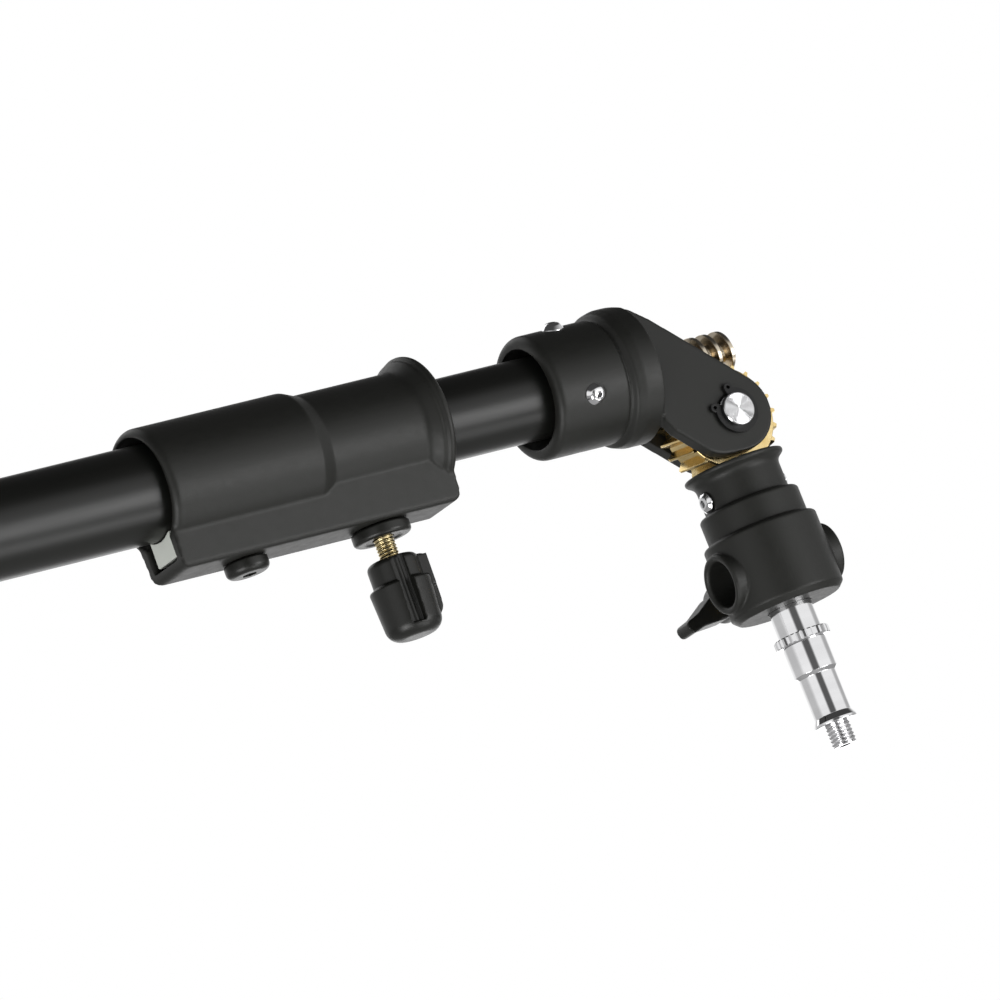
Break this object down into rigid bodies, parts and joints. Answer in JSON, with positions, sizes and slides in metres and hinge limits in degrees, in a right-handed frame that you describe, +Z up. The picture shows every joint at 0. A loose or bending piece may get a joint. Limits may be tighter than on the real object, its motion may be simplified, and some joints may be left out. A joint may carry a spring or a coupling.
{
  "type": "overhead boom arm",
  "caption": "Telescoping boom arm with a clamp collar and a geared head: a crank at the rear turns a worm that tilts a spigot socket at the front.",
  "frame": {"origin": "on the axis of the outer tube, at the place where a stand's clamp grips it", "axes": "+X along the boom towards its head, +Z up, so the head hangs towards -Z"},
  "size_m": [0.6655, 0.0695, 0.1751],
  "materials": {
    "black_casting": "fine textured matt black",
    "black_tube": "satin black anodised",
    "black_plastic": "satin moulded black",
    "white_nylon": "plain moulded off-white",
    "chrome": "polished chrome",
    "steel": "turned steel",
    "dark_steel": "blackened steel",
    "brass": "machined brass",
    "bronze": "sintered bronze",
    "yellow_zinc": "yellow zinc plate"
  },
  "bodies": {
    "root": {"outer_tube": "black_tube", "rear_plug": "black_plastic", "rear_bearing": "bronze", "clamp_collar": "black_casting", "fixing_pad": "white_nylon", "fixing_screw": "black_plastic", "front_bush": "white_nylon", "screw_insert": "black_plastic"},
    "shoe": {"clamp_shoe": "white_nylon"},
    "knob": {"clamp_stud": "yellow_zinc", "clamp_knob": "black_plastic"},
    "arm": {"inner_tube": "black_tube", "glide_ring": "white_nylon", "head_yoke": "black_casting", "sleeve_screw_1": "chrome", "sleeve_screw_2": "chrome", "sleeve_screw_3": "chrome", "sleeve_screw_4": "chrome", "shaft_bush": "bronze", "pivot_pin": "chrome", "retaining_ring_1": "dark_steel", "retaining_ring_2": "dark_steel", "thrust_washer_1": "bronze", "thrust_washer_2": "bronze"},
    "worm_drive": {"worm": "steel", "drive_tube": "steel", "drive_pin": "dark_steel"},
    "crank": {"drive_rod": "steel", "crank_arm": "black_casting", "crank_bolt": "dark_steel", "grip_axle": "steel"},
    "grip": {"crank_grip": "black_plastic"},
    "head": {"worm_wheel": "brass", "spigot_socket": "black_casting", "neck_screw_1": "chrome", "neck_screw_2": "chrome", "lock_insert": "brass"},
    "lock_pad": {"lock_pad": "brass"},
    "lock": {"lock_stud": "yellow_zinc", "lock_lever": "black_plastic"},
    "spigot": {"spigot": "chrome", "knurled_ring": "chrome"}
  },
  "joints": [
    {"name": "boom_extend", "type": "slide", "parent": "root", "child": "arm", "axis": [1, 0, 0], "range_m": [-0.04, 0.27]},
    {"name": "shoe_slide", "type": "slide", "parent": "root", "child": "shoe", "axis": [0, 0, -1], "range_m": [0, 0.003]},
    {"name": "knob_turn", "type": "hinge", "parent": "shoe", "child": "knob", "pos_m": [0.2872, 0, -0.05], "axis": [0, 0, -1], "range_deg": [0, 866]},
    {"name": "head_tilt", "type": "hinge", "parent": "arm", "child": "head", "pos_m": [0.4323, 0, -0.025], "axis": [0, -1, 0], "range_deg": [-12.5, 87.5]},
    {"name": "worm_turn", "type": "hinge", "parent": "arm", "child": "worm_drive", "pos_m": [0.4323, 0, 0], "axis": [1, 0, 0], "range_deg": [-285, 1935]},
    {"name": "crank_turn", "type": "hinge", "parent": "root", "child": "crank", "pos_m": [-0.16, 0, 0], "axis": [1, 0, 0], "range_deg": [-285, 1935]},
    {"name": "grip_spin", "type": "hinge", "parent": "crank", "child": "grip", "pos_m": [-0.17, 0, -0.04], "axis": [1, 0, 0], "continuous": true},
    {"name": "lock_pad_slide", "type": "slide", "parent": "head", "child": "lock_pad", "axis": [0, 1, 0], "range_m": [0, 0.003]},
    {"name": "lock_turn", "type": "hinge", "parent": "lock_pad", "child": "lock", "pos_m": [0.43475, 0, -0.08115], "axis": [0, 1, 0], "range_deg": [0, 1082]},
    {"name": "spigot_slide", "type": "slide", "parent": "head", "child": "spigot", "axis": [0.0436, 0, -0.999], "range_m": [0, 0.02]}
  ],
  "couplings": [
    {"joint": "knob_turn", "follows": "shoe_slide", "rad_per_m": 5026.5},
    {"joint": "worm_turn", "follows": "head_tilt", "ratio": 22},
    {"joint": "crank_turn", "follows": "head_tilt", "ratio": 22},
    {"joint": "lock_turn", "follows": "lock_pad_slide", "rad_per_m": 6283.2}
  ]
}
